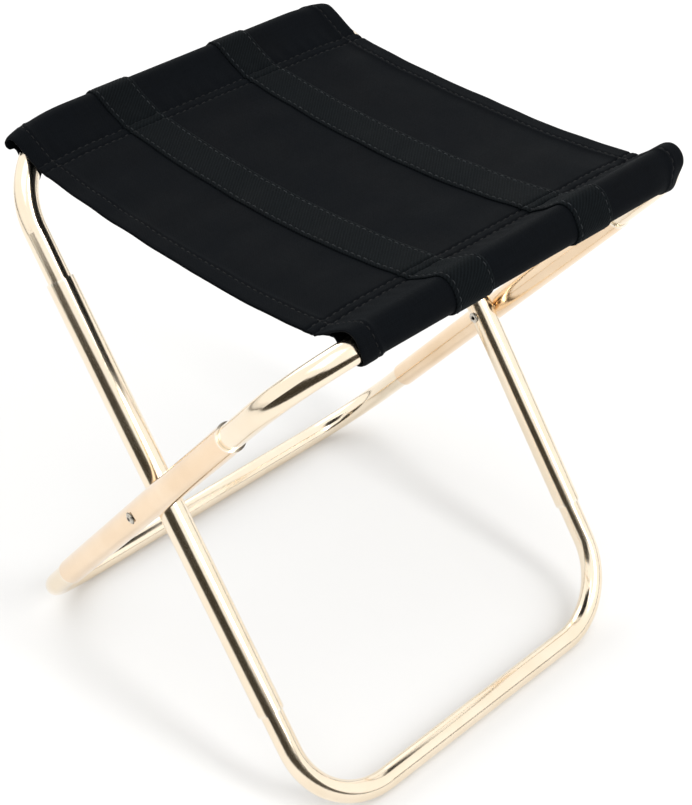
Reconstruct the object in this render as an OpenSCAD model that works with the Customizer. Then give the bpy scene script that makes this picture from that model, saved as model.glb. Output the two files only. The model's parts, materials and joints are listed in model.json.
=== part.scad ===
// Small folding camp stool: two crossed tube frames joined by two rivets, with a slung cloth seat.
// Millimetres. X runs from the left top bar to the right one, Y runs along the bars, Z is up.
// The origin is on the floor, midway between the feet. The stool is drawn open, ready to sit on.

/* [Frames] */
// Angle between the two frames when the cloth is taut, in degrees
open_angle = 76; // [70:1:80]
// Distance from the pivot to the centre of each top bar
upper_reach = 164; // [160:1:170]
// Distance from the pivot to the centre of each floor bar
lower_reach = 165; // [160:1:170]
// Width of the inner frame between the centres of its side tubes
inner_width = 200; // [196:1:210]
// Sideways gap between an inner side tube and its outer neighbour
frame_gap = 0.4; // [0.3:0.1:0.8]
// Radius of the four bends of each frame, to the tube's centre line
bend_radius = 38; // [34:1:42]

/* [Tubes] */
// Outside diameter of the straight side tubes
side_tube_d = 12.6; // [12.4:0.1:13]
// Outside diameter of the bent top and floor tubes
bent_tube_d = 10.6; // [10.2:0.1:10.8]
// Wall of the bent tubes
bent_tube_wall = 0.9; // [0.7:0.1:1.2]
// Height of the side tube's upper mouth above the pivot, along the frame
upper_mouth = 103.5; // [98:0.5:108]
// Depth of the side tube's lower mouth below the pivot, along the frame
lower_mouth = 106.5; // [100:0.5:110]
// Length of each bent tube's leg hidden inside a side tube
leg_insert = 22; // [15:1:30]

/* [Rivets] */
// Diameter of the rivet's shank
rivet_d = 3.6; // [3:0.1:4]
// Diameter of the rivet's domed head
rivet_head_d = 5.6; // [5:0.1:7]
// Height of the domed head
rivet_head_h = 1.2; // [0.8:0.1:1.6]

/* [Seat] */
// Length of the cloth along the bars
cloth_length = 184; // [176:1:186]
// Thickness of the cloth panel
panel_t = 1.2; // [1:0.1:1.6]
// Distance from a bar's centre to the seam that closes its sleeve
seam_reach = 22; // [20:1:26]
// How far the seam lies below the bar's centre
seam_drop = 2.5; // [1:0.5:4]
// How far the middle of the panel lies below the bars' centres
panel_sag = 8; // [5:0.5:12]
// Width of each reinforcing web
web_width = 20; // [16:1:24]
// Distance between the centres of the two webs
web_spacing = 68; // [60:1:76]
// Thickness of the web
web_t = 0.8; // [0.6:0.1:1.2]
// Width of the folded hem along each free edge of the panel
hem_width = 9; // [7:1:12]

/* [Hidden] */
$fn = 64;

gold = [0.86, 0.72, 0.53];
steel = [0.72, 0.72, 0.72];
cloth = [0.06, 0.07, 0.08];
webbing = [0.10, 0.11, 0.12];

lean = open_angle / 2;
side_r = side_tube_d / 2;
bent_r = bent_tube_d / 2;
outer_width = inner_width + 2 * (side_tube_d + frame_gap);
pivot_z = lower_reach * cos(lean) + bent_r;
bar_x = upper_reach * sin(lean);
bar_z = pivot_z + upper_reach * cos(lean);

// Radial clearance of each leg in its side tube, and of each rivet in its holes
leg_clearance = 0.06;
rivet_clearance = 0.05;
// Gap under each rivet head
head_gap = 0.1;
// Rolled end of the rivet, on the inside of the inner frame
roll_r = 0.9;
roll_d = 5.2;
rivet_hollow_d = 2;
rivet_hollow_depth = 4;

sleeve_t = 0.9;
sleeve_bore_r = bent_r + 0.3;
sleeve_r = sleeve_bore_r + sleeve_t;
// Each sleeve's end over a bend is built in this many steps, and its top follows the bend by this share
sleeve_steps = 4;
top_follow = 0.4;
layer_gap = 0.05;
hem_t = 0.8;
hem_start = 3;
panel_steps = 8;
// Radius of the small rounding where the sleeve closes at its seam
seam_r = panel_t / 2;
seam_bore_r = 0.2;
seam_bore_back = 2.4;
seam_x = bar_x - seam_reach;

inner_straight = inner_width / 2 - bend_radius;
outer_straight = outer_width / 2 - bend_radius;

// Stands a frame's own plane (Y across, Z along its legs from the pivot) in its place.
// side is -1 for the inner frame, whose top leans left, and 1 for the outer frame.
module leaning(side) {
    translate([0, 0, pivot_z]) {
        rotate([0, side * lean, 0]) {
            children();
        }
    }
}

module ring(radius, wall) {
    difference() {
        circle(radius);
        circle(radius - wall);
    }
}

// One bent tube: a bar, two bends and two legs that end inside the side tubes.
module bent_tube(width, reach, mouth) {
    bar_half = width / 2 - bend_radius;
    leg_foot = mouth - leg_insert;
    leg_top = reach - bend_radius;
    translate([0, bar_half, reach]) {
        rotate([90, 0, 0]) {
            linear_extrude(2 * bar_half) ring(bent_r, bent_tube_wall);
        }
    }
    for (hand = [0, 1]) {
        mirror([0, hand, 0]) {
            translate([0, bar_half, leg_top]) {
                rotate([90, 0, 90]) {
                    rotate_extrude(angle = 90) {
                        translate([bend_radius, 0]) ring(bent_r, bent_tube_wall);
                    }
                }
            }
            translate([0, width / 2, leg_foot]) {
                linear_extrude(leg_top - leg_foot) ring(bent_r, bent_tube_wall);
            }
        }
    }
}

module top_tube(side, width) {
    color(gold) leaning(side) bent_tube(width, upper_reach, upper_mouth);
}

module floor_tube(side, width) {
    color(gold) leaning(side) mirror([0, 0, 1]) bent_tube(width, lower_reach, lower_mouth);
}

// A straight side tube, drilled across for the rivet at the pivot.
module side_tube(side, y) {
    color(gold) leaning(side) {
        difference() {
            translate([0, y, -lower_mouth]) {
                linear_extrude(upper_mouth + lower_mouth) {
                    ring(side_r, side_r - bent_r - leg_clearance);
                }
            }
            translate([0, y + side_tube_d, 0]) {
                rotate([90, 0, 0]) {
                    cylinder(h = 2 * side_tube_d, r = rivet_d / 2 + rivet_clearance);
                }
            }
        }
    }
}

module domed_head() {
    dome_r = (pow(rivet_head_d / 2, 2) + pow(rivet_head_h, 2)) / (2 * rivet_head_h);
    rotate_extrude() {
        intersection() {
            translate([0, rivet_head_h - dome_r]) circle(dome_r);
            square([rivet_head_d / 2, rivet_head_h]);
        }
    }
}

module rolled_end() {
    rotate_extrude() {
        intersection() {
            translate([roll_d / 2 - roll_r, 0]) circle(roll_r);
            square([roll_d / 2, roll_r]);
        }
    }
}

// A rivet with its domed head outside the outer frame and its rolled end inside the inner one.
module pivot_rivet(hand) {
    head_y = outer_width / 2 + side_r + head_gap;
    roll_y = inner_width / 2 - side_r - head_gap;
    color(steel) translate([0, 0, pivot_z]) {
        mirror([0, hand, 0]) {
            difference() {
                union() {
                    translate([0, head_y, 0]) rotate([90, 0, 0]) {
                        cylinder(h = head_y - roll_y, r = rivet_d / 2);
                    }
                    translate([0, head_y, 0]) rotate([-90, 0, 0]) domed_head();
                    translate([0, roll_y, 0]) rotate([90, 0, 0]) rolled_end();
                }
                translate([0, roll_y + rivet_hollow_depth, 0]) rotate([90, 0, 0]) {
                    cylinder(h = rivet_hollow_depth + 2 * roll_r, r = rivet_hollow_d / 2);
                }
            }
        }
    }
}

// Height of the middle of the cloth panel at a distance x from the stool's centre.
function panel_z(x) = bar_z - panel_sag + (panel_sag - seam_drop) * pow(x / seam_x, 2);

// Side outline of half the panel, or of a layer lying a height low..high from its middle.
module panel_outline(from_x, low, high) {
    span = seam_x - from_x;
    steps = [for (i = [0:panel_steps]) from_x + span * i / panel_steps];
    back = [for (i = [panel_steps:-1:0]) from_x + span * i / panel_steps];
    polygon(concat(
        [for (x = steps) [x, panel_z(x) + low]],
        [for (x = back) [x, panel_z(x) + high]]
    ));
}

// Side outline of a loop of cloth round the right bar, closing at the seam.
// It is stretched down the frame from high_drop to low_drop, where the tube bends away inside it.
module loop_outline(radius, end_radius, back, high_drop, low_drop) {
    hull() {
        for (drop = [high_drop, low_drop]) {
            translate([bar_x - drop * sin(lean), bar_z - drop * cos(lean)]) circle(radius);
        }
        translate([seam_x + back, bar_z - seam_drop]) circle(end_radius);
    }
}

module along_bar(from_y, to_y) {
    translate([0, to_y, 0]) rotate([90, 0, 0]) linear_extrude(to_y - from_y) children();
}

module loop_wall(high_drop, low_drop) {
    difference() {
        loop_outline(sleeve_r, seam_r, seam_r, high_drop, low_drop);
        loop_outline(sleeve_bore_r, seam_bore_r, seam_bore_back, high_drop, low_drop);
    }
}

// How far the inner side of a bend has fallen below its bar, a distance past the bar's straight part.
function bend_drop(past) =
    bend_radius - bent_r - sqrt(max(0, pow(bend_radius - bent_r, 2) - pow(past, 2)));

// A sleeve of the seat: snug on the straight of the bar and deeper, step by step, over the two bends.
module right_sleeve(straight) {
    step = (cloth_length / 2 - straight) / sleeve_steps;
    color(cloth) {
        along_bar(-straight, straight) loop_wall(0, 0);
        for (hand = [0, 1]) {
            mirror([0, hand, 0]) {
                for (i = [1:sleeve_steps]) {
                    along_bar(straight + (i - 1) * step, straight + i * step) {
                        loop_wall(top_follow * bend_drop((i - 1) * step), bend_drop(i * step));
                    }
                }
            }
        }
    }
}

module right_panel() {
    color(cloth) {
        along_bar(-cloth_length / 2, cloth_length / 2) {
            panel_outline(0, -panel_t / 2, panel_t / 2);
        }
    }
}

// A web: over the panel from its middle, then right round the sleeve.
module right_web(y) {
    low = panel_t / 2 + layer_gap;
    color(webbing) {
        along_bar(y - web_width / 2, y + web_width / 2) {
            difference() {
                union() {
                    panel_outline(0, low, low + web_t);
                    loop_outline(sleeve_r + layer_gap + web_t, seam_r + layer_gap + web_t, seam_r, 0, 0);
                }
                loop_outline(sleeve_r + layer_gap, seam_r + layer_gap, seam_r, 0, 0);
                panel_outline(0, -panel_t / 2 - layer_gap, low);
            }
        }
    }
}

// The fold under one free edge of the panel.
module right_hem(hand) {
    high = -panel_t / 2 - layer_gap;
    color(cloth) {
        mirror([0, hand, 0]) {
            along_bar(cloth_length / 2 - hem_width, cloth_length / 2) {
                difference() {
                    panel_outline(0, high - hem_t, high);
                    translate([seam_x - hem_start, 0]) square([2 * hem_start, 2 * bar_z]);
                }
            }
        }
    }
}

module on_left() {
    mirror([1, 0, 0]) children();
}

top_tube(-1, inner_width);  // inner_top_tube
floor_tube(-1, inner_width);  // inner_floor_tube
side_tube(-1, -inner_width / 2);  // inner_side_tube_near
side_tube(-1, inner_width / 2);  // inner_side_tube_far
top_tube(1, outer_width);  // outer_top_tube
floor_tube(1, outer_width);  // outer_floor_tube
side_tube(1, -outer_width / 2);  // outer_side_tube_near
side_tube(1, outer_width / 2);  // outer_side_tube_far
pivot_rivet(1);  // pivot_rivet_near
pivot_rivet(0);  // pivot_rivet_far
on_left() right_sleeve(inner_straight);  // seat_sleeve_left
right_sleeve(outer_straight);  // seat_sleeve_right
on_left() right_panel();  // seat_panel_left
right_panel();  // seat_panel_right
on_left() right_web(-web_spacing / 2);  // web_near_left
right_web(-web_spacing / 2);  // web_near_right
on_left() right_web(web_spacing / 2);  // web_far_left
right_web(web_spacing / 2);  // web_far_right
on_left() right_hem(1);  // hem_near_left
right_hem(1);  // hem_near_right
on_left() right_hem(0);  // hem_far_left
right_hem(0);  // hem_far_right
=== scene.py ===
"""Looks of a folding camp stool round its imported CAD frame. Metres; X across, Y along the bars, Z up."""

import json
import math

import bpy
import numpy as np
from mathutils import Matrix, Vector


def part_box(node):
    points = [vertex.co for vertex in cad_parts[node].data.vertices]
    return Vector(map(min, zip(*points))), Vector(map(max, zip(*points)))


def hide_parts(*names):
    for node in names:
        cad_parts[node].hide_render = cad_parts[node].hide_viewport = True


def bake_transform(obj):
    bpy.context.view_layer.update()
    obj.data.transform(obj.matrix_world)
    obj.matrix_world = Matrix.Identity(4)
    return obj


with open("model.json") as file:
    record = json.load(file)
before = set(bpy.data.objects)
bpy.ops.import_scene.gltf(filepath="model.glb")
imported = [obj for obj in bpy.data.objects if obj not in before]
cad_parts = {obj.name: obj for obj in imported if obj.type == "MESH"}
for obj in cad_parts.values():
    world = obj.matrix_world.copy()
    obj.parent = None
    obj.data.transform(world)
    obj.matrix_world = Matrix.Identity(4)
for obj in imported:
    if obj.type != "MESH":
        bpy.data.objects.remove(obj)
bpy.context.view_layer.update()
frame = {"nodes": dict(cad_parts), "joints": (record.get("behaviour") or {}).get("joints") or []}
MM = 0.001

# ---------------------------------------------------------------- places, all read from the CAD frame
joints = {j["name"]: j for j in frame["joints"]}
pivot = np.array(joints["fold"]["pos_m"], float)
bar = np.array(joints["seat_right_drop"]["pos_m"], float)
BAR_X, BAR_Z = float(bar[0]), float(bar[2])
LEAN = math.atan2(bar[0], bar[2] - pivot[2])
DOWN_FRAME = np.array([-math.sin(LEAN), -math.cos(LEAN)])
panel_low, panel_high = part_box("seat_panel_right")
SEAM_X = float(panel_high.x)
END_Y = float(panel_high.y)
PANEL_HALF_T = 0.6 * MM
MID_Z = float(panel_low.z) + PANEL_HALF_T
SEAM_Z = float(panel_high.z) - PANEL_HALF_T
web_boxes = {n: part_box(f"web_{n}_right") for n in ("near", "far")}
TUBE_R = 5.3 * MM
BEND_R = 38 * MM
STRAIGHT = {
    "left": float(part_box("inner_top_tube")[1].y) - TUBE_R - BEND_R,
    "right": float(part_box("outer_top_tube")[1].y) - TUBE_R - BEND_R,
}

# ---------------------------------------------------------------- sizes of the sewn seat
CLOTH_T = 0.8 * MM
SLEEVE_R = TUBE_R + 0.35 * MM + CLOTH_T / 2
LEAST_GAP = 1.25 * CLOTH_T  # between the middles of two layers of cloth that lie on each other
HEM_W = 9 * MM
HEM_EDGE = END_Y - HEM_W
HEM_RISE = 0.6 * MM
WEB_T = 0.9 * MM
WEB_RIM = 0.35 * MM  # how much thinner the web is at its woven rims
TOP_SHARE = {"left": 0.30, "right": 0.12}  # of the tube's bend, followed by the sleeve's top
END_PULL = {"left": 0.945, "right": 0.968}  # of its width, kept by the sleeve below its bar
UNDER_FROM = {"left": 22, "right": 34}  # columns past the seam where the sleeve starts to draw in
UNDER_FADE = 18.0  # columns
FAR_TRIM = {"left": 4.0 * MM, "right": 0.0}  # taken off the far edge at the bar
SEAM_RISE = {"left": 0.3 * MM, "right": 2.1 * MM}
SEAM_OUT = {"left": 3.0 * MM, "right": 5.0 * MM}
ROLL_LIFT = {"left": (0.6 * MM, 0.9 * MM), "right": (1.6 * MM, 4.2 * MM)}  # near end, far end
ROLL_SAG = 0.20
SHIFT_MIDDLE, SHIFT_SLOPE = 1.3 * MM, 3.1 * MM
WEB_SHIFT_MIDDLE, WEB_SHIFT_SLOPE = -2.2 * MM, 1.6 * MM
SNUG = 0.8  # of the slack under the sleeve's flap, taken up
GROOVE = 0.55 * MM
GROOVE_W = 0.75 * MM
FINE_BAND = 9 * MM
SEAM_TAIL = 7 * MM
STITCH_LEN = 2.4 * MM
STITCH_GAP = 1.0 * MM
SEAM_ROWS = (1.0 * MM, 5.4 * MM)
HEM_STITCH = 1.8 * MM
WEB_STITCH = 1.7 * MM
THREAD_R = {"seam": 0.24 * MM, "web": 0.26 * MM}
WRINKLE = 0.30 * MM
PUCKER, PUCKER_PITCH = 0.16 * MM, 8.2 * MM
EDGE_SLACK, EDGE_BAND = 1.6 * MM, 26 * MM

# ---------------------------------------------------------------- columns of the cloth's grid
COARSE_N, FINE_N = 40, 31
PANEL_N, LOOP_N, TAIL_N = COARSE_N + FINE_N - 1, 84, 5
SEAM_COLUMN = PANEL_N - 1
LOOP_END = PANEL_N + LOOP_N - 2
WEB_END = PANEL_N + LOOP_N - 8
ROWS_MIDDLE, ROWS_HEM = 96, 24


def smooth(t):
    """A soft step from nought to one."""
    t = np.clip(t, 0.0, 1.0)
    return t * t * (3 - 2 * t)


def hull_2d(points):
    """Convex outline of points, counter-clockwise."""
    pts = sorted(set(map(tuple, np.round(points, 9))))

    def half(seq):
        out = []
        for p in seq:
            while len(out) > 1:
                (ax, ay), (bx, by) = out[-2], out[-1]
                if (bx - ax) * (p[1] - ay) - (by - ay) * (p[0] - ax) > 0:
                    break
                out.pop()
            out.append(p)
        return out[:-1]

    return np.array(half(pts) + half(pts[::-1]))


CIRCLE = np.array([[math.cos(a), math.sin(a)] for a in np.linspace(0, 2 * math.pi, 97)[:-1]])


def seam_x(side):
    return SEAM_X + SEAM_OUT[side]


def loop_of(top_fall, low_fall, lift, seam):
    """The sleeve's closed outline about the bar, from the seam over the top and back below to the seam."""
    pts = np.vstack([
        CIRCLE * SLEEVE_R + DOWN_FRAME * top_fall + np.array([-0.6 * lift, lift]),
        CIRCLE * SLEEVE_R + DOWN_FRAME * low_fall,
        seam[None],
    ])
    hull = hull_2d(pts)[::-1]
    start = int(np.argmin(np.linalg.norm(hull - seam, axis=1)))
    hull = np.roll(hull, -start, axis=0)
    return np.vstack([hull, hull[:1]])


def steps_along(line):
    """How far along a line each of its points lies."""
    return np.concatenate([[0], np.cumsum(np.linalg.norm(np.diff(line, axis=0), axis=1))])


def lift_at(y, side):
    """How far the top of the loose sleeve stands up off its bar."""
    near, far = ROLL_LIFT[side]
    return near + (far - near) * float(smooth((y + END_Y) / (2 * END_Y)))


def settled_loop(y, side, seam):
    """The sleeve's outline at y. Its underside clears the tube's bend, and its top follows it a little."""
    over = max(0.0, abs(y) - STRAIGHT[side])
    centre_fall = BEND_R - math.sqrt(max(BEND_R**2 - over**2, 0.0))
    inner = BEND_R - TUBE_R
    low_fall = inner - math.sqrt(max(inner**2 - over**2, 0.0))
    return loop_of(TOP_SHARE[side] * centre_fall, low_fall, lift_at(y, side), seam)


def resample(line, n):
    """The same line with n points at equal steps."""
    steps = steps_along(line)
    at = np.linspace(0, steps[-1], n)
    return np.stack([np.interp(at, steps, line[:, k]) for k in (0, 1)], axis=1)


def shift_at(x):
    """How far the cloth lies along Y from its true place, since it sits a little askew on its bars."""
    return SHIFT_MIDDLE + SHIFT_SLOPE * x / BAR_X


def web_shift_at(x):
    """How much further the webs lie along Y than the cloth below them."""
    return WEB_SHIFT_MIDDLE + WEB_SHIFT_SLOPE * x / BAR_X


def panel_z(x, side):
    return MID_Z + (SEAM_Z + SEAM_RISE[side] - MID_Z) * (x / seam_x(side)) ** 2


def fine_steps(end):
    """Steps from nought to end, close together where the seam's stitches lie."""
    coarse = np.linspace(0, end - FINE_BAND, COARSE_N)
    return np.concatenate([coarse[:-1], np.linspace(end - FINE_BAND, end, FINE_N)])


def sink_roll(loop, seam):
    """Lets the loose cloth between the seam and the top of the sleeve sag."""
    peak = int(np.argmax(loop[:, 1]))
    ramp = np.clip((loop[:peak, 0] - seam[0]) / (loop[peak, 0] - seam[0]), 0, 1)
    stand = max(0.0, loop[peak, 1] - seam[1] - SLEEVE_R)
    loop[:peak, 1] -= ROLL_SAG * stand * np.sin(math.pi * ramp) ** 2


def tuck_under(loop, bottom):
    """Draws the sleeve's lower flap up against the layer over it, never nearer than the cloth is thick."""
    upper = loop[: int(np.argmax(loop[:, 0]))]
    for k in range(bottom, LOOP_N):
        t = (k - bottom) / (LOOP_N - 1 - bottom)
        over = np.interp(loop[k, 0], upper[:, 0], upper[:, 1])
        pull = SNUG * smooth(t / 0.7) * smooth((-loop[k, 0] - SLEEVE_R) / (6 * MM))
        loop[k, 1] += pull * max(over - loop[k, 1] - LEAST_GAP, 0.0)
        if t > 0.5:
            loop[k, 1] = min(over - LEAST_GAP, loop[k, 1])


def section(y, side):
    """One slice of half the cloth at y: points (x, z) from the middle of the seat to the tail of its seam."""
    seam = np.array([seam_x(side) - BAR_X, SEAM_Z + SEAM_RISE[side] - BAR_Z])
    x = fine_steps(seam_x(side))
    top = np.stack([x, panel_z(x, side)], axis=1)
    loop = resample(settled_loop(y, side, seam), LOOP_N)
    bottom = int(np.argmin(loop[:, 1]))
    sink_roll(loop, seam)
    tuck_under(loop, bottom)
    loop = loop + np.array([BAR_X, BAR_Z])
    tail_x = seam_x(side) - np.linspace(0, SEAM_TAIL, TAIL_N + 1)[1:]
    tail = np.stack([tail_x, panel_z(tail_x, side) - LEAST_GAP], axis=1)
    return np.vstack([top, loop[1:], tail])


def soften(line, rounds, keep):
    """Rounds the corners of a slice a little, leaving the points in keep where they are."""
    for _ in range(rounds):
        inner = (line[:-2] + 2 * line[1:-1] + line[2:]) / 4
        inner[keep[1:-1]] = line[1:-1][keep[1:-1]]
        line = np.vstack([line[:1], inner, line[-1:]])
    return line


def ripple(x, y, seed):
    """A smooth, repeatable wave field of about unit height."""
    rng = np.random.default_rng(seed)
    total = np.zeros_like(x)
    for _ in range(9):
        angle = rng.uniform(0, math.pi)
        wave = rng.uniform(14, 46) * MM
        phase = rng.uniform(0, 2 * math.pi)
        total += np.sin((x * math.cos(angle) + y * math.sin(angle)) * 2 * math.pi / wave + phase)
    return total / 4.5


class Cloth:
    """Half the seat cloth as a smooth grid, with a place and an outward normal for any y and any length."""

    def __init__(self, side):
        self.side = side
        self.sign = -1.0 if side == "left" else 1.0
        hem = np.linspace(HEM_EDGE, END_Y, ROWS_HEM)
        self.ys = np.unique(np.concatenate([np.linspace(-HEM_EDGE, HEM_EDGE, ROWS_MIDDLE), -hem, hem]))
        self.grid, self.steps = self.lay_out()
        self.drape()
        self.normals = self.find_normals()
        self.grid = self.grid + self.normals * (self.hem_rise() - self.grooves())[..., None]
        self.normals = self.find_normals()
        self.grid[..., 0] *= self.sign
        self.normals[..., 0] *= self.sign

    def lay_out(self):
        """The cloth's slices side by side, and how far along its slice each place lies."""
        columns = np.arange(PANEL_N + LOOP_N - 1 + TAIL_N)
        under = smooth((columns - (PANEL_N + UNDER_FROM[self.side])) / UNDER_FADE)
        lines, across = zip(*(self.slice_at(y, under) for y in self.ys))
        flat = np.stack(lines)
        grid = np.stack([flat[..., 0], np.stack(across), flat[..., 1]], axis=2)
        steps = np.zeros(flat.shape[:2])
        steps[:, 1:] = np.cumsum(np.linalg.norm(np.diff(flat, axis=1), axis=2), axis=1)
        return grid, steps

    def slice_at(self, y, under):
        """One slice as (x, z) points and where each lies along Y. Its free end draws in below the bar."""
        out = smooth((abs(y) - 0.6 * HEM_EDGE) / (0.4 * HEM_EDGE))
        drawn_in = (1 - END_PULL[self.side]) * out
        trim = FAR_TRIM[self.side] * float(smooth(y / HEM_EDGE))
        at_bar = shift_at(self.sign * BAR_X)
        keep = np.isin(np.arange(len(under)), (0, SEAM_COLUMN, LOOP_END))
        ends = [k * y + at_bar - trim for k in (1.0, 1 - drawn_in)]
        above, below = (soften(section(end, self.side), 3, keep) for end in ends)
        line = above * (1 - under)[:, None] + below * under[:, None]
        reach = np.minimum(line[:, 0], BAR_X)
        across = y * (1 - drawn_in * under) + shift_at(self.sign * reach) - trim * reach / BAR_X
        return line, across

    def hem_rise(self):
        """How far the hems below lift the cloth along its free edges."""
        past_hem = np.abs(self.ys) - HEM_EDGE
        past_end = np.abs(self.ys) - END_Y
        rise = HEM_RISE * smooth((past_hem + 0.5 * MM) / (1.0 * MM))
        rise = rise - 0.5 * HEM_RISE * smooth((past_end + 1.2 * MM) / (1.2 * MM))
        on_top = np.ones(self.grid.shape[1])
        on_top[WEB_END:] = 0
        return rise[:, None] * on_top[None, :]

    def grooves(self):
        """How far each row of stitches pulls the cloth in."""
        seam = self.length_at(SEAM_COLUMN)
        depth = np.zeros(self.steps.shape)
        for offset in SEAM_ROWS:
            depth += np.exp(-(((self.steps - seam + offset) / GROOVE_W) ** 2))
        off_hem_row = np.abs(self.ys) - HEM_EDGE - HEM_STITCH
        hem = 0.6 * np.exp(-((off_hem_row / GROOVE_W) ** 2))
        depth += hem[:, None] * (self.steps < seam + 60 * MM)
        return GROOVE * np.minimum(depth, 1.0)

    def drape(self):
        """Wrinkles, puckers at the seam and the slack of the free edges."""
        g = self.grid
        x = g[..., 0]
        y = np.broadcast_to(self.ys[:, None], x.shape)
        col = np.arange(g.shape[1])[None, :]
        seam = seam_x(self.side)
        on_panel = smooth((seam - x) / (14 * MM)) * (col < PANEL_N) * smooth(x / (12 * MM))
        seed = 3 if self.side == "left" else 8
        g[..., 2] += WRINKLE * ripple(x, y * 0.7, seed) * on_panel
        near_seam = np.exp(-(((x - seam) / (7 * MM)) ** 2)) * (col < PANEL_N + 14)
        g[..., 2] += PUCKER * np.sin(y * 2 * math.pi / PUCKER_PITCH + 1.3 * np.sin(y * 90)) * near_seam
        edge = smooth((np.abs(y) - END_Y + EDGE_BAND) / EDGE_BAND)
        g[..., 2] -= EDGE_SLACK * edge * smooth(x / seam) * (col < PANEL_N)
        last = g[:, SEAM_COLUMN, 2] - SEAM_Z - SEAM_RISE[self.side]
        fade = smooth((PANEL_N + 16 - col) / 16.0) * (col >= PANEL_N)
        g[..., 2] += last[:, None] * fade * 0.9
        back = smooth((col - (PANEL_N + LOOP_N - 18)) / 14.0)
        g[..., 2] += last[:, None] * back * 0.9

    def find_normals(self):
        g = self.grid
        du = np.gradient(g, axis=1)
        dv = np.gradient(g, axis=0)
        n = np.cross(du, dv)
        n /= np.maximum(np.linalg.norm(n, axis=2, keepdims=True), 1e-12)
        return n

    def at(self, y, s):
        """Place and outward normal at y and at length s along the slice."""
        r = np.interp(y, self.ys, np.arange(len(self.ys)))
        i = int(min(r, len(self.ys) - 2))
        f = r - i
        out = []
        for field in (self.grid, self.normals):
            two = [
                np.array([np.interp(s, self.steps[k], field[k, :, c]) for c in range(3)])
                for k in (i, i + 1)
            ]
            out.append(two[0] * (1 - f) + two[1] * f)
        return out[0], out[1] / max(np.linalg.norm(out[1]), 1e-9)

    def web_shift(self, s):
        middle = len(self.ys) // 2
        x = min(float(np.interp(s, self.steps[middle], np.abs(self.grid[middle, :, 0]))), BAR_X)
        return web_shift_at(self.sign * x)

    def length_at(self, column):
        return float(self.steps[len(self.ys) // 2, column])


def mesh_object(name, verts, faces, uvs=None, smooth_shading=True):
    mesh = bpy.data.meshes.new(name)
    mesh.from_pydata([tuple(map(float, v)) for v in verts], [], faces)
    mesh.validate()
    if uvs is not None:
        layer = mesh.uv_layers.new(name="UVMap")
        for loop in mesh.loops:
            layer.data[loop.index].uv = uvs[loop.vertex_index]
    mesh.polygons.foreach_set("use_smooth", [smooth_shading] * len(mesh.polygons))
    mesh.update()
    obj = bpy.data.objects.new(name, mesh)
    bpy.context.scene.collection.objects.link(obj)
    return obj


def grid_faces(rows, columns, flip):
    faces = []
    for i in range(rows - 1):
        for j in range(columns - 1):
            a = i * columns + j
            quad = (a, a + 1, a + columns + 1, a + columns)
            faces.append(quad[::-1] if flip else quad)
    return faces


def shell_object(name, places, normals, up, down, uv, flip, material):
    """A closed thin sheet round a grid of places, with a crisp rim along its first column."""
    rows, columns = places.shape[:2]
    count = rows * columns
    verts = np.vstack([(places + normals * up).reshape(-1, 3), (places - normals * down).reshape(-1, 3)])
    top = grid_faces(rows, columns, flip)
    faces = top + [tuple(i + count for i in f[::-1]) for f in top]
    ring = [(0, j) for j in range(columns)] + [(i, columns - 1) for i in range(1, rows)]
    ring += [(rows - 1, j) for j in range(columns - 2, -1, -1)] + [(i, 0) for i in range(rows - 2, 0, -1)]
    ring = [i * columns + j for i, j in ring]
    for a, b in zip(ring, ring[1:] + ring[:1]):
        quad = (a, a + count, b + count, b)
        faces.append(quad[::-1] if flip else quad)
    uvs = np.vstack([uv.reshape(-1, 2)] * 2)
    obj = mesh_object(name, verts, faces, uvs)
    obj.data.materials.append(material)
    crisp = {i * columns for i in range(rows)}
    crisp |= {i + count for i in crisp}
    for edge in obj.data.edges:
        a, b = edge.vertices
        if a in crisp and b in crisp and abs(a - b) != count:
            edge.use_edge_sharp = True
    return obj


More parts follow.
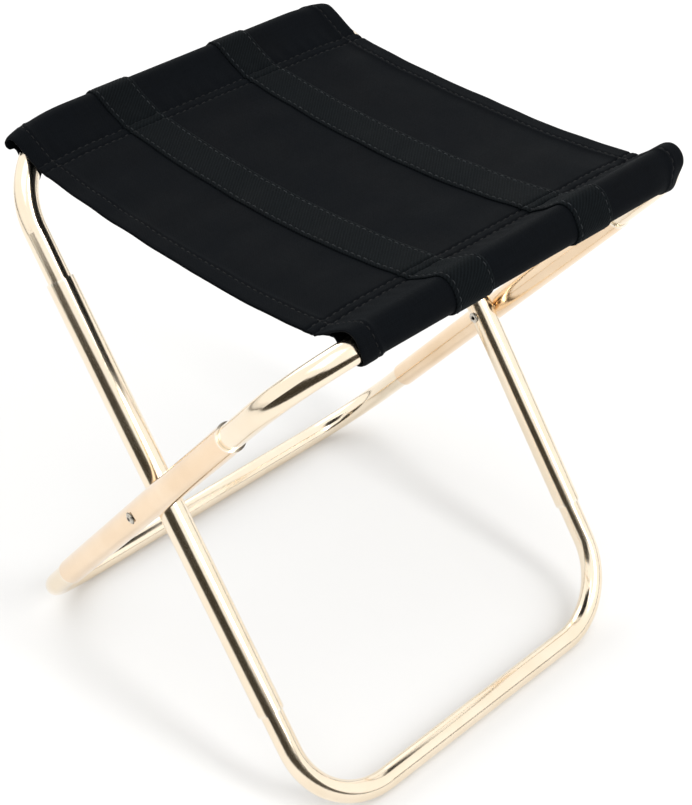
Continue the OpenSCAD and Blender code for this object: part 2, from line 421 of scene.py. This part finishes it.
# ---------------------------------------------------------------- node helpers
class Nodes:
    """A short way to wire one material."""

    def __init__(self, name):
        self.material = bpy.data.materials.new(name)
        self.material.use_nodes = True
        self.tree = self.material.node_tree
        self.tree.nodes.clear()
        self.out = self.add("ShaderNodeOutputMaterial")

    def add(self, kind, **settings):
        n = self.tree.nodes.new(kind)
        for k, v in settings.items():
            setattr(n, k, v)
        return n

    def link(self, a, b):
        self.tree.links.new(a, b)

    def value(self, socket, v):
        if hasattr(v, "is_output"):
            self.link(v, socket)
        else:
            socket.default_value = v

    def math(self, op, a, b=0.0, c=0.0):
        n = self.add("ShaderNodeMath", operation=op)
        self.value(n.inputs[0], a)
        self.value(n.inputs[1], b)
        if op == "MULTIPLY_ADD":
            self.value(n.inputs[2], c)
        return n.outputs[0]

    def noise(self, vector, scale, detail=2.0, roughness=0.5):
        n = self.add("ShaderNodeTexNoise")
        self.link(vector, n.inputs["Vector"])
        n.inputs["Scale"].default_value = scale
        n.inputs["Detail"].default_value = detail
        n.inputs["Roughness"].default_value = roughness
        return n.outputs["Fac"]

    def ramp(self, fac, stops):
        n = self.add("ShaderNodeValToRGB")
        el = n.color_ramp.elements
        while len(el) < len(stops):
            el.new(0.5)
        for e, (pos, col) in zip(el, stops):
            e.position = pos
            e.color = (*col, 1.0)
        self.link(fac, n.inputs["Fac"])
        return n.outputs["Color"]

    def span(self, fac, low, high, to_low, to_high):
        n = self.add("ShaderNodeMapRange", clamp=True)
        self.value(n.inputs["Value"], fac)
        n.inputs["From Min"].default_value = low
        n.inputs["From Max"].default_value = high
        n.inputs["To Min"].default_value = to_low
        n.inputs["To Max"].default_value = to_high
        return n.outputs["Result"]

    def mapping(self, vector, scale=(1, 1, 1), rotation=(0, 0, 0)):
        n = self.add("ShaderNodeMapping")
        self.link(vector, n.inputs["Vector"])
        n.inputs["Scale"].default_value = scale
        n.inputs["Rotation"].default_value = rotation
        return n.outputs["Vector"]

    def bump(self, height, strength, distance, normal=None):
        n = self.add("ShaderNodeBump")
        self.link(height, n.inputs["Height"])
        n.inputs["Strength"].default_value = strength
        n.inputs["Distance"].default_value = distance
        if normal is not None:
            self.link(normal, n.inputs["Normal"])
        return n.outputs["Normal"]


# The outer frame's side tube is the same anodised metal as the rest. It is tinted peach instead of champagne
# to paint the warmer reflection it shows.
CHAMPAGNE = ((0.87, 0.74, 0.56), (0.915, 0.79, 0.62), (0.95, 0.84, 0.68))
WARM_REFLECTION_PEACH = ((0.84, 0.63, 0.42), (0.885, 0.68, 0.47), (0.93, 0.74, 0.54))


# Painted highlight: a pale band along the rolled lip at each mouth of a side tube.
MOUTH_HIGHLIGHT = (0.93, 0.86, 0.75, 1)
MOUTH_HIGHLIGHT_BAND = (0.4 * MM, 1.6 * MM)


def painted_mouth_highlight(m, along, cloud, colour, mouths):
    """Paints a pale highlight along the rolled lip at each mouth of a side tube, patchy with the cloud."""
    height = m.add("ShaderNodeSeparateXYZ")
    m.link(along, height.inputs[0])
    low, high = mouths
    up = m.math("SUBTRACT", height.outputs["Z"], float(pivot[2]) * math.cos(LEAN))
    near_top = m.span(m.math("SUBTRACT", high, up), *MOUTH_HIGHLIGHT_BAND, 1.0, 0.0)
    near_low = m.span(m.math("SUBTRACT", up, low), *MOUTH_HIGHLIGHT_BAND, 1.0, 0.0)
    rim = m.math("MULTIPLY", m.math("MAXIMUM", near_top, near_low), m.span(cloud, 0.35, 0.6, 0.4, 1.0))
    mix = m.add("ShaderNodeMix", data_type="RGBA")
    m.link(rim, mix.inputs["Factor"])
    m.link(colour, mix.inputs["A"])
    mix.inputs["B"].default_value = MOUTH_HIGHLIGHT
    return mix.outputs["Result"]


def gold_material(name, side, tints, mouths=None):
    """Satin anodised tube with faint lines along it and, on a side tube, a painted highlight along the rim of
    each mouth.
    """
    m = Nodes(name)
    p = m.add("ShaderNodeBsdfPrincipled")
    coords = m.add("ShaderNodeTexCoord").outputs["Object"]
    along = m.mapping(coords, rotation=(0, -side * LEAN, 0))
    lines = m.noise(m.mapping(along, scale=(1.0, 1.0, 0.02)), 5200, 2.0, 0.6)
    cloud = m.noise(coords, 38, 3.0, 0.55)
    fine = m.noise(coords, 2600, 2.0, 0.6)
    colour = m.ramp(cloud, list(zip((0.25, 0.5, 0.78), tints)))
    if mouths is not None:
        colour = painted_mouth_highlight(m, along, cloud, colour, mouths)
    grain = m.math("ADD", m.math("MULTIPLY", lines, 0.6), m.math("MULTIPLY", cloud, 0.4))
    m.link(colour, p.inputs["Base Color"])
    m.link(m.span(grain, 0.3, 0.7, 0.11, 0.21), p.inputs["Roughness"])
    p.inputs["Metallic"].default_value = 1.0
    p.inputs["Coat Weight"].default_value = 0.25
    p.inputs["Coat Roughness"].default_value = 0.08
    normal = m.bump(lines, 0.10, 0.04 * MM)
    normal = m.bump(fine, 0.06, 0.03 * MM, normal)
    m.link(normal, p.inputs["Normal"])
    m.link(p.outputs[0], m.out.inputs[0])
    return m.material


# Painted shade and shadow on the rivet: dark in its hollow and in a ring round its head, bright between.
RIVET_SHADE_RINGS = (
    (0.28, (0.10, 0.09, 0.075)),
    (0.40, (0.72, 0.69, 0.62)),
    (0.74, (0.66, 0.63, 0.56)),
    (0.90, (0.16, 0.14, 0.11)),
)


def steel_material(name):
    """Dull steel, with painted shade in the rivet's hollow and a painted shadow ring round its rim."""
    m = Nodes(name)
    p = m.add("ShaderNodeBsdfPrincipled")
    coords = m.add("ShaderNodeTexCoord").outputs["Object"]
    cloud = m.noise(coords, 900, 3.0, 0.6)
    place = m.add("ShaderNodeSeparateXYZ")
    m.link(coords, place.inputs[0])
    up = m.math("SUBTRACT", place.outputs["Z"], float(pivot[2]))
    across = m.math("MULTIPLY", place.outputs["X"], place.outputs["X"])
    reach = m.math("SQRT", m.math("ADD", across, m.math("MULTIPLY", up, up)))
    rings = m.ramp(m.span(reach, 0.0, 3 * MM, 0.0, 1.0), RIVET_SHADE_RINGS)
    tone = m.add("ShaderNodeMix", data_type="RGBA", blend_type="MULTIPLY")
    tone.inputs["Factor"].default_value = 1.0
    m.link(rings, tone.inputs["A"])
    m.link(m.ramp(cloud, [(0.3, (0.72, 0.70, 0.68)), (0.7, (1.0, 1.0, 1.0))]), tone.inputs["B"])
    m.link(tone.outputs["Result"], p.inputs["Base Color"])
    m.link(m.span(cloud, 0.3, 0.7, 0.22, 0.42), p.inputs["Roughness"])
    p.inputs["Metallic"].default_value = 1.0
    m.link(m.bump(m.noise(coords, 4200, 2.0), 0.2, 0.00005), p.inputs["Normal"])
    m.link(p.outputs[0], m.out.inputs[0])
    return m.material


def weave_height(m, u, v, pitch, twill):
    """The height of the yarns, from nought to one, as plain squares or slanting twill ridges."""
    k = 2 * math.pi / pitch
    if twill:
        ridge = m.math("SINE", m.math("MULTIPLY", m.math("ADD", u, m.math("MULTIPLY", v, 0.8)), k))
        slant = m.math("SUBTRACT", u, m.math("MULTIPLY", v, 1.6))
        cross = m.math("SINE", m.math("MULTIPLY", slant, k * 1.5))
        return m.math("ADD", m.math("MULTIPLY", ridge, 0.38), m.math("MULTIPLY_ADD", cross, 0.12, 0.5))
    a = m.math("SINE", m.math("MULTIPLY", u, k))
    b = m.math("SINE", m.math("MULTIPLY", v, k))
    return m.math("MULTIPLY_ADD", m.math("MULTIPLY", a, b), 0.5, 0.5)


def woven_material(name, pitch, twill, tints, sheen, depth):
    """Black woven cloth. Its UV map holds metres along and across the cloth, so the weave keeps its scale."""
    m = Nodes(name)
    p = m.add("ShaderNodeBsdfPrincipled")
    uv = m.add("ShaderNodeUVMap", uv_map="UVMap").outputs["UV"]
    sep = m.add("ShaderNodeSeparateXYZ")
    m.link(uv, sep.inputs[0])
    height = weave_height(m, sep.outputs["X"], sep.outputs["Y"], pitch, twill)
    slubs = m.math(
        "ADD",
        m.noise(m.mapping(uv, scale=(1.0, 0.12, 1.0)), 900, 2.0, 0.6),
        m.noise(m.mapping(uv, scale=(0.12, 1.0, 1.0)), 900, 2.0, 0.6),
    )
    cloud = m.noise(uv, 26, 4.0, 0.6)
    mixed = m.math("ADD", m.math("MULTIPLY", height, 0.45), m.math("MULTIPLY", slubs, 0.28))
    shade = m.math("ADD", m.math("MULTIPLY", mixed, 0.7), m.math("MULTIPLY", cloud, 0.35))
    m.link(m.ramp(shade, list(zip((0.28, 0.85), tints))), p.inputs["Base Color"])
    m.link(m.span(cloud, 0.3, 0.7, 0.62, 0.78), p.inputs["Roughness"])
    p.inputs["Specular IOR Level"].default_value = 0.035
    p.inputs["Sheen Weight"].default_value = sheen
    p.inputs["Sheen Roughness"].default_value = 0.45
    p.inputs["Sheen Tint"].default_value = (0.55, 0.75, 0.85, 1)
    normal = m.bump(height, 0.55, depth)
    normal = m.bump(slubs, 0.35, depth, normal)
    m.link(normal, p.inputs["Normal"])
    m.link(p.outputs[0], m.out.inputs[0])
    return m.material


def thread_material(name, low, high):
    m = Nodes(name)
    p = m.add("ShaderNodeBsdfPrincipled")
    coords = m.add("ShaderNodeTexCoord").outputs["Object"]
    cloud = m.noise(coords, 700, 2.0)
    m.link(m.ramp(cloud, [(0.3, low), (0.7, high)]), p.inputs["Base Color"])
    p.inputs["Roughness"].default_value = 0.5
    p.inputs["Specular IOR Level"].default_value = 0.2
    m.link(m.bump(m.noise(coords, 6000, 2.0), 0.4, 0.00005), p.inputs["Normal"])
    m.link(p.outputs[0], m.out.inputs[0])
    return m.material


CLOTH_TINTS = ((0.0006, 0.0009, 0.0014), (0.0036, 0.0048, 0.0066))
WEB_TINTS = ((0.0007, 0.0011, 0.0015), (0.0050, 0.0070, 0.0084))
CLOTH_MAT = woven_material("oxford_cloth", 0.9 * MM, False, CLOTH_TINTS, 0.008, 0.10 * MM)
WEB_MAT = woven_material("twill_web", 1.5 * MM, True, WEB_TINTS, 0.010, 0.22 * MM)
SEAM_THREAD = thread_material("seam_thread", (0.0010, 0.0012, 0.0015), (0.0032, 0.0038, 0.0045))
WEB_THREAD = thread_material("web_thread", (0.0025, 0.0031, 0.0038), (0.014, 0.018, 0.021))
STEEL_MAT = steel_material("rivet_steel")
MOUTHS = (-106.5 * MM, 103.5 * MM)  # the side tubes' lower and upper mouths, along them from the rivet
GOLD = {
    "inner_bent": gold_material("anodised_inner_bent", -1, CHAMPAGNE),
    "outer_bent": gold_material("anodised_outer_bent", 1, CHAMPAGNE),
    "inner_side": gold_material("anodised_inner_side", -1, CHAMPAGNE, MOUTHS),
    # Peach here is painted reflection, not a different finish.
    "outer_side": gold_material("anodised_outer_side_peach_reflection", 1, WARM_REFLECTION_PEACH, MOUTHS),
}
for node_name, node in frame["nodes"].items():
    if "tube" in node_name:
        node.data.materials.clear()
        kind = "side" if "side" in node_name else "bent"
        node.data.materials.append(GOLD[f"{node_name.split('_')[0]}_{kind}"])
    elif "rivet" in node_name:
        node.data.materials.clear()
        node.data.materials.append(STEEL_MAT)


# ---------------------------------------------------------------- the cloth
WEB_BEVEL = 0.05  # of the web's width
WEB_CLEAR = 0.03 * MM
WEB_DIP, WEB_DIP_W = 0.20 * MM, 0.6 * MM  # its own rows of stitches pull it in
SEAM_DIP = 0.30 * MM
WEB_RIM_STEPS = (0, 0.4, 0.8, 1.2, 1.7, 2.2, 2.7)  # mm in from its rim
HEM_CURL = 0.6 * MM
HEM_DROP = 1.06 * CLOTH_T
ON_CLOTH = CLOTH_T / 2
ON_WEB = CLOTH_T / 2 + WEB_T - 0.12 * MM


def as_grids(rows, *fields):
    """Lists of points turned to arrays of rows and columns."""
    return [np.array(f).reshape(rows, len(f) // rows, -1) for f in fields]


def build_cloth(cloth):
    """The cloth itself, with metres along and across it as its UV map."""
    rows, columns = cloth.grid.shape[:2]
    u = np.broadcast_to(cloth.steps[rows // 2][None, :] * cloth.sign, (rows, columns))
    v = np.broadcast_to(cloth.ys[:, None], (rows, columns))
    uv = np.stack([u, v], axis=2)
    half = CLOTH_T / 2
    name = f"seat_cloth_{cloth.side}"
    return shell_object(name, cloth.grid, cloth.normals, half, half, uv, cloth.sign < 0, CLOTH_MAT)


def bump_at(distance, width):
    """A smooth bump of height one at no distance."""
    return math.exp(-((distance / width) ** 2))


def web_rise(cloth, share, width, s):
    """How far a web's top lies above the cloth's middle, at a share of its width from its nearer rim."""
    rim = 1 - smooth(share / WEB_BEVEL)
    own_row = WEB_DIP * bump_at(share * width - WEB_STITCH, WEB_DIP_W)
    seam = cloth.length_at(SEAM_COLUMN)
    seam_rows = SEAM_DIP * sum(bump_at(s - seam + k, GROOVE_W) for k in SEAM_ROWS)
    return CLOTH_T / 2 + WEB_T + WEB_CLEAR - WEB_RIM * rim - own_row - seam_rows * (1 - rim)


def build_web(cloth, name, low_y, high_y):
    """A band laid on the cloth from the middle of the seat, over the sleeve and back under it to the seam."""
    seam, end = cloth.length_at(SEAM_COLUMN), cloth.length_at(WEB_END)
    ss = np.concatenate([fine_steps(seam)[:-1], np.linspace(seam, end, 70)])
    width = high_y - low_y
    edge = np.array(WEB_RIM_STEPS) * MM / width
    across = np.concatenate([edge, np.linspace(0.16, 0.84, 10), 1 - edge[::-1]])
    places, normals, uv = [], [], []
    for t in across:
        for s in ss:
            y = low_y + width * t + cloth.web_shift(s)
            p, n = cloth.at(y, s)
            places.append(p + n * web_rise(cloth, min(t, 1 - t), width, s))
            normals.append(n)
            uv.append((s * cloth.sign, y))
    grid, out, uv = as_grids(len(across), places, normals, uv)
    title, down = f"web_{name}_{cloth.side}_band", WEB_T - WEB_RIM
    return shell_object(title, grid, out, 0.0, down, uv, cloth.sign < 0, WEB_MAT)


def hem_profile():
    """The hem's outline as (y, height off the cloth): flat below it, then up round its free edge."""
    inner = END_Y - HEM_CURL
    profile = [(HEM_EDGE + (HEM_W - HEM_CURL) * t, -HEM_DROP) for t in np.linspace(0, 1, 9)]
    for a in np.radians(np.linspace(-80, 0, 5)):
        profile.append((inner + 0.75 * MM * math.cos(a), -HEM_DROP / 2 + HEM_DROP / 2 * math.sin(a)))
    return profile


def build_hem(cloth, name, hand):
    """The folded edge under the panel: a strip that curls up round the cloth's free edge."""
    xs = np.linspace(0, cloth.length_at(SEAM_COLUMN) - 2 * MM, 42)
    profile = hem_profile()
    places, normals, uv = [], [], []
    along, last = 0.0, profile[0]
    for y, h in profile:
        along += math.hypot(y - last[0], h - last[1])
        last = (y, h)
        for s in xs:
            p, n = cloth.at(hand * min(y, END_Y), s)
            q = p + n * h
            q[1] += hand * max(0.0, y - END_Y)
            places.append(q)
            normals.append(-n)
            uv.append((s, along))
    grid, out, uv = as_grids(len(profile), places, normals, uv)
    title, half, flip = f"hem_{name}_{cloth.side}_fold", 0.4 * CLOTH_T, (cloth.sign < 0) != (hand > 0)
    return shell_object(title, grid, out, half, half, uv, flip, CLOTH_MAT)


STITCH_RING = 6
STITCH_NUDGE = 0.3 * MM
# share of the stitch's length, width of its ring and height of its middle, both in thread radii
STITCH_PROFILE = (
    (0.0, 0.25, -0.9),
    (0.14, 0.8, -0.15),
    (0.35, 1.0, 0.25),
    (0.65, 1.0, 0.25),
    (0.86, 0.8, -0.15),
    (1.0, 0.25, -0.9),
)


class ThreadPath:
    """A line of (place, normal) pairs that can be read at any length along it."""

    def __init__(self, path):
        self.places = np.array([p for p, _ in path])
        self.normals = np.array([n for _, n in path])
        self.steps = steps_along(self.places)

    def read(self, field, at):
        return np.array([np.interp(at, self.steps, field[:, c]) for c in range(3)])

    def ring(self, at, radius, wide, high):
        """The points round the thread at one length."""
        p, n = self.read(self.places, at), self.read(self.normals, at)
        n /= np.linalg.norm(n)
        d = self.read(self.places, at + STITCH_NUDGE) - self.read(self.places, at - STITCH_NUDGE)
        d /= max(np.linalg.norm(d), 1e-9)
        side = np.cross(d, n)
        middle, reach = p + n * radius * high, radius * wide
        turns = [2 * math.pi * a / STITCH_RING for a in range(STITCH_RING)]
        return [middle + (side * math.cos(a) + n * math.sin(a)) * reach for a in turns]


def thread_faces(first):
    """The faces of one closed stitch whose rings of points begin at vertex first."""
    faces = []
    last = first + (len(STITCH_PROFILE) - 1) * STITCH_RING
    for ring in range(first, last, STITCH_RING):
        for a in range(STITCH_RING):
            b = (a + 1) % STITCH_RING
            faces.append((ring + a, ring + b, ring + STITCH_RING + b, ring + STITCH_RING + a))
    faces.append(tuple(first + a for a in reversed(range(STITCH_RING))))
    faces.append(tuple(last + a for a in range(STITCH_RING)))
    return faces


def stitch_mesh(rows, name):
    """Rows of short raised threads. Each row is a kind of thread and the (place, normal) list it follows."""
    verts, faces, tones = [], [], []
    for kind, points in rows:
        path = ThreadPath(points)
        count = max(1, int(path.steps[-1] / (STITCH_LEN + STITCH_GAP)))
        for k in range(count):
            start = (k + 0.5) * path.steps[-1] / count - STITCH_LEN / 2
            faces += thread_faces(len(verts))
            for share, wide, high in STITCH_PROFILE:
                verts += path.ring(start + STITCH_LEN * share, THREAD_R[kind], wide, high)
        tones += [0 if kind == "seam" else 1] * (len(faces) - len(tones))
    obj = mesh_object(name, verts, faces)
    obj.data.materials.append(SEAM_THREAD)
    obj.data.materials.append(WEB_THREAD)
    obj.data.polygons.foreach_set("material_index", tones)
    return obj


def row_along_y(cloth, s, low, high, lift, n=90):
    out = []
    for y in np.linspace(low, high, n):
        p, nrm = cloth.at(y, s)
        out.append((p + nrm * lift, nrm))
    return out


def row_along_s(cloth, y, low, high, lift, with_web=False, n=150):
    out = []
    for s in np.linspace(low, high, n):
        p, nrm = cloth.at(y + (cloth.web_shift(s) if with_web else 0.0), s)
        out.append((p + nrm * lift, nrm))
    return out


def web_and_hem_rows(cloth):
    """The rows that run along each half of the seat: two on each web and one on each hem."""
    rows = []
    back = cloth.length_at(WEB_END - 1)
    for low_corner, high_corner in web_boxes.values():
        for y in (low_corner.y + WEB_STITCH, high_corner.y - WEB_STITCH):
            rows.append(("web", row_along_s(cloth, y, 0.2 * MM, back, ON_WEB, with_web=True)))
    for hand in (-1, 1):
        rows.append(("seam", row_along_s(cloth, hand * (HEM_EDGE + HEM_STITCH), 0.2 * MM, back, ON_CLOTH)))
    return rows


def seam_row(cloth, s):
    """One row of the sleeve's seam along the bar, cut where it climbs on and off each web."""
    moved = cloth.web_shift(s)
    bands = [(low.y + moved, high.y + moved) for low, high in web_boxes.values()]
    gaps = [-END_Y + 2 * MM, *bands[0], *bands[1], END_Y - 2 * MM]
    rows = []
    for low, high in zip(gaps[::2], gaps[1::2]):
        rows.append(("seam", row_along_y(cloth, s, low + 0.3 * MM, high - 0.3 * MM, ON_CLOTH)))
    for low, high in bands:
        rows.append(("seam", row_along_y(cloth, s, low + 0.5 * MM, high - 0.5 * MM, ON_WEB - 0.15 * MM)))
    return rows


def build_stitches(cloth):
    rows = web_and_hem_rows(cloth)
    for offset in SEAM_ROWS:
        rows += seam_row(cloth, cloth.length_at(SEAM_COLUMN) - offset)
    return stitch_mesh(rows, f"stitching_{cloth.side}")


def bend_at_bar(obj):
    """Bakes the object's placement into its mesh."""
    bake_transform(obj)


for side in ("left", "right"):
    cloth = Cloth(side)
    cloth_obj = build_cloth(cloth)
    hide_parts(f"seat_panel_{side}", f"seat_sleeve_{side}")
    bend_at_bar(cloth_obj)
    for name in ("near", "far"):
        web = build_web(cloth, name, web_boxes[name][0].y, web_boxes[name][1].y)
        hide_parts(f"web_{name}_{side}")
        bend_at_bar(web)
    for name, hand in (("near", -1), ("far", 1)):
        hem = build_hem(cloth, name, hand)
        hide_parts(f"hem_{name}_{side}")
        bend_at_bar(hem)
    stitches = build_stitches(cloth)
    bend_at_bar(stitches)


# ---------------------------------------------------------------- floor, light and camera
def toward(azimuth, elevation):
    """The direction from the stool to a viewer or a light."""
    level = math.cos(elevation)
    return Vector((math.sin(azimuth) * level, -math.cos(azimuth) * level, math.sin(elevation)))


FLOOR_R = 12
LIGHT_AIM = Vector((0, 0, 0.15))
FLOOR_TINTS = ((0.3, (0.767, 0.767, 0.765)), (0.7, (0.773, 0.773, 0.771)))


def matt_material(name):
    """A matt stage material and its shader, whose colour is left to the caller."""
    m = Nodes(name)
    p = m.add("ShaderNodeBsdfPrincipled")
    p.inputs["Roughness"].default_value = 0.9
    p.inputs["Specular IOR Level"].default_value = 0.1
    m.link(p.outputs[0], m.out.inputs[0])
    return m, p.inputs["Base Color"]


def build_floor():
    around = np.linspace(0, 2 * math.pi, 97)[:-1]
    rim = [(FLOOR_R * math.cos(a), FLOOR_R * math.sin(a), 0.0) for a in around]
    obj = mesh_object("studio_floor", rim, [tuple(range(len(rim)))], smooth_shading=False)
    m, colour = matt_material("pale_floor")
    coords = m.add("ShaderNodeTexCoord").outputs["Object"]
    m.link(m.ramp(m.noise(coords, 3.0), FLOOR_TINTS), colour)
    obj.data.materials.append(m.material)


def area_light(name, azimuth, elevation, distance, size, power, size_y=None):
    """A soft light that looks at the stool. Its azimuth is 0 in front and 90 on the right, in degrees."""
    data = bpy.data.lights.new(name, "AREA")
    data.energy = power
    data.shape = "RECTANGLE" if size_y else "SQUARE"
    data.size = size
    if size_y:
        data.size_y = size_y
    obj = bpy.data.objects.new(name, data)
    back = toward(math.radians(azimuth), math.radians(elevation))
    obj.location = LIGHT_AIM + back * distance
    obj.rotation_mode = "QUATERNION"
    obj.rotation_quaternion = back.to_track_quat("Z", "Y")
    obj.visible_camera = False
    bpy.context.scene.collection.objects.link(obj)


def hide_from_view(obj):
    obj.visible_camera = False
    obj.visible_shadow = False
    obj.visible_diffuse = False


FENCE_R, FENCE_FOOT, FENCE_EYE = 1.15, 0.01, 0.10
FENCE_TURNS = (-8, 22, 50, 62, 105)
FENCE_TOPS = (5, 27, 27, 18, 17)
SHEET_Z = 0.003
SHEET_OUTLINE = (
    (-0.15, -0.75),
    (0.32, -0.42),
    (0.50, -0.28),
    (0.62, 0.10),
    (0.9, 0.35),
    (1.9, 0.35),
    (1.9, -1.8),
    (-0.15, -1.8),
)
SKIRT_R, SKIRT_LOW, SKIRT_HIGH, SKIRT_N = 1.1, 0.005, 0.075, 64


def dark_fence(material):
    """A curved board in front and on the right. Its top edge is set in degrees of elevation."""
    turns = np.radians(np.linspace(FENCE_TURNS[0], FENCE_TURNS[-1], 24))
    rise = np.radians(np.interp(np.degrees(turns), FENCE_TURNS, FENCE_TOPS))
    tops = FENCE_EYE + FENCE_R * np.tan(rise)
    feet = [(FENCE_R * math.sin(t), -FENCE_R * math.cos(t)) for t in turns]
    verts = [(x, y, FENCE_FOOT) for x, y in feet] + [(x, y, z) for (x, y), z in zip(feet, tops)]
    board = mesh_object("dark_board", verts, grid_faces(2, len(turns), False))
    board.data.materials.append(material)
    hide_from_view(board)


def dark_sheet(material):
    verts = [(x, y, SHEET_Z) for x, y in SHEET_OUTLINE]
    sheet = mesh_object("dark_floor_sheet", verts, [tuple(range(len(verts)))])
    sheet.data.materials.append(material)
    hide_from_view(sheet)


def dark_skirt(material):
    """A low ring round the stool, for the fine dark line along the foot of each bright tube."""
    turns = [2 * math.pi * k / SKIRT_N for k in range(SKIRT_N)]
    ring = [(SKIRT_R * math.cos(t), SKIRT_R * math.sin(t)) for t in turns]
    verts = [(x, y, z) for z in (SKIRT_LOW, SKIRT_HIGH) for x, y in ring]
    after = [(k + 1) % SKIRT_N for k in range(SKIRT_N)]
    faces = [(k, n, n + SKIRT_N, k + SKIRT_N) for k, n in enumerate(after)]
    skirt = mesh_object("dark_skirt", verts, faces)
    skirt.data.materials.append(material)
    hide_from_view(skirt)


def build_dark_boards():
    """Boards that the camera doesn't see. They give the bright tubes their dark streak and fine edge lines."""
    m, colour = matt_material("dark_board")
    colour.default_value = (0.035, 0.03, 0.022, 1)
    dark_fence(m.material)
    dark_sheet(m.material)
    dark_skirt(m.material)


def build_light():
    """An even white surround, with a key light from above and one light on each side."""
    world = bpy.data.worlds.new("studio")
    world.use_nodes = True
    background = world.node_tree.nodes["Background"]
    background.inputs["Color"].default_value = (1.0, 0.995, 0.985, 1)
    background.inputs["Strength"].default_value = 1.15
    bpy.context.scene.world = world
    area_light("key", 10, 66, 1.7, 0.9, 3)
    area_light("right_strip", 98, 36, 1.5, 0.28, 9, size_y=1.2)
    area_light("left", -100, 32, 1.6, 1.0, 4)
    build_dark_boards()


VIEW_AZIMUTH, VIEW_ELEVATION, VIEW_ROLL = math.radians(46.47), math.radians(39.13), -0.008
VIEW_FROM_PIVOT = Vector((0.4291, -0.40095, 0.47537))
SENSOR_MM, LENS_MM = 36.0, 72.68


def build_camera():
    """Looks down at the stool from the front right, at the viewing angle of its picture."""
    data = bpy.data.cameras.new("view")
    data.sensor_fit = "AUTO"
    data.sensor_width = SENSOR_MM
    data.lens = LENS_MM
    data.clip_start, data.clip_end = 0.02, 50
    obj = bpy.data.objects.new("view", data)
    bpy.context.scene.collection.objects.link(obj)
    obj.location = Vector(pivot) + VIEW_FROM_PIVOT
    turn = toward(VIEW_AZIMUTH, VIEW_ELEVATION).to_track_quat("Z", "Y")
    obj.rotation_mode = "QUATERNION"
    obj.rotation_quaternion = turn @ Matrix.Rotation(-VIEW_ROLL, 3, "Z").to_quaternion()
    bpy.context.scene.camera = obj


build_floor()
build_light()
build_camera()
bpy.context.scene.view_settings.view_transform = "Standard"
